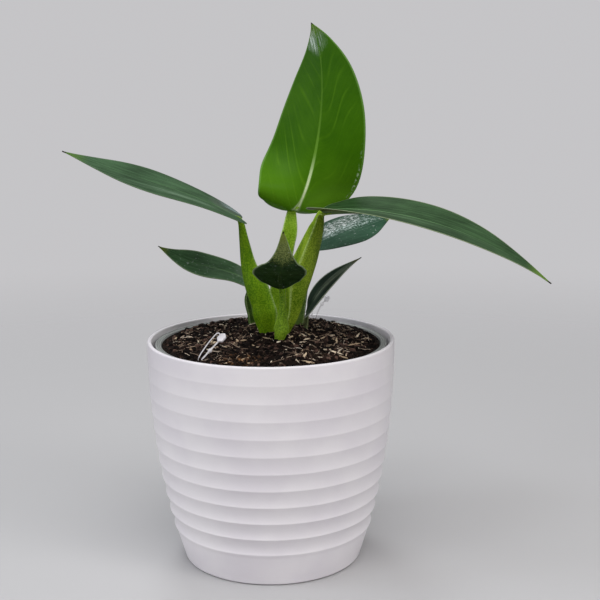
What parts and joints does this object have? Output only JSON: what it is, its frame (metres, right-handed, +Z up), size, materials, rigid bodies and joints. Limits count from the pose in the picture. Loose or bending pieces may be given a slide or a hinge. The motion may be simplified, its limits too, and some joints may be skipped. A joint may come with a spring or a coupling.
{
  "type": "potted philodendron martianum",
  "caption": "Young aroid house plant with swollen stalks and lance-shaped leaves, in peat in a grower's pot inside a ribbed white cover pot.",
  "frame": {"origin": "centre of the cover pot's flat underside", "axes": "+Z up along the pot's axis; -Y towards the viewer, on the side of the small front leaf; +X towards the long drooping leaf"},
  "size_m": [0.2576, 0.1447, 0.3036],
  "materials": {
    "pot_white": "satin",
    "grower_plastic": "satin",
    "peat": "rough",
    "crown_green": "matte",
    "stalk_green": "satin",
    "blade_bright": "semi-gloss",
    "blade_dark": "semi-gloss",
    "tag_clear": "translucent"
  },
  "bodies": {
    "root": {"cover_pot": "pot_white", "nursery_pot": "grower_plastic", "soil": "peat", "crown": "crown_green", "stalk_left": "stalk_green", "blade_left": "blade_dark", "stalk_upright": "stalk_green", "blade_upright": "blade_bright", "stalk_right": "stalk_green", "blade_right": "blade_dark", "stalk_front": "stalk_green", "blade_front": "blade_dark", "stalk_small_left": "stalk_green", "blade_small_left": "blade_dark", "stalk_back_right": "stalk_green", "blade_back_right": "blade_dark", "stalk_small_right": "stalk_green", "blade_small_right": "blade_dark", "tag_loop_front": "tag_clear", "tag_loop_back": "tag_clear"}
  },
  "joints": []
}
